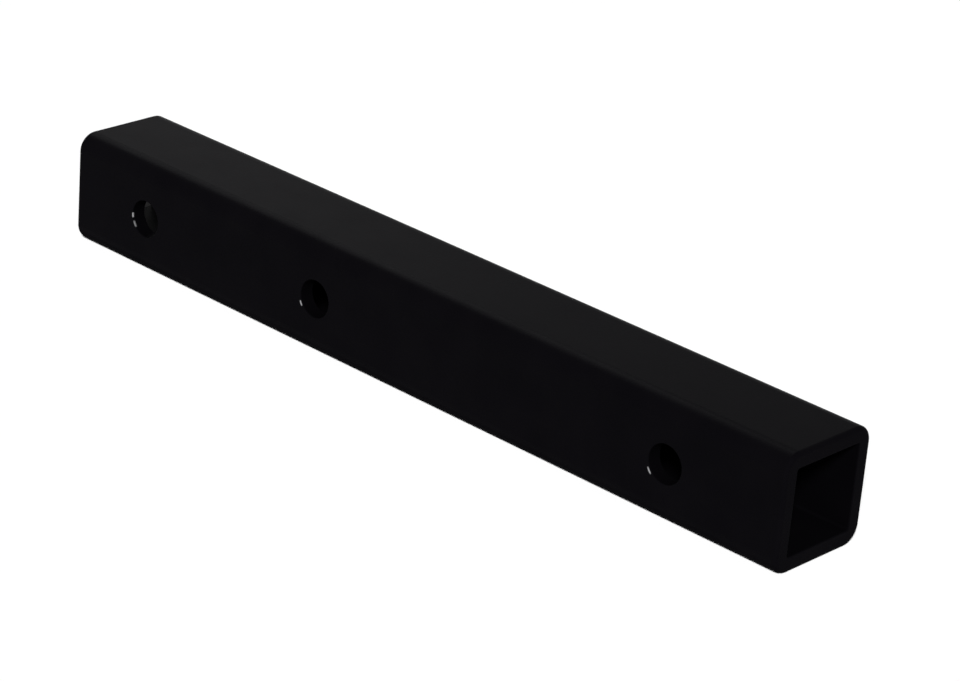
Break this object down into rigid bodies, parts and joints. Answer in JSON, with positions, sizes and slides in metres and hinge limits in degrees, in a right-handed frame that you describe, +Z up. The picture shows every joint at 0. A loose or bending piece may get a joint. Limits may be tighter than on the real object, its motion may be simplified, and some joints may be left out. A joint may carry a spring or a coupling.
{
  "type": "hitch receiver adapter",
  "caption": "Black coated square steel tube, open at both ends, with cross holes for a hitch pin through both side walls.",
  "frame": {"origin": "middle of the flat underside that the tube rests on", "axes": "+X along the tube, towards the end whose nearest pin hole is 57.5 mm in; +Y across it, along the pin holes; +Z up"},
  "size_m": [0.4064, 0.0508, 0.0508],
  "materials": {
    "black_coating": "satin black powder coat on steel"
  },
  "bodies": {
    "root": {"receiver_tube": "black_coating"}
  },
  "joints": []
}
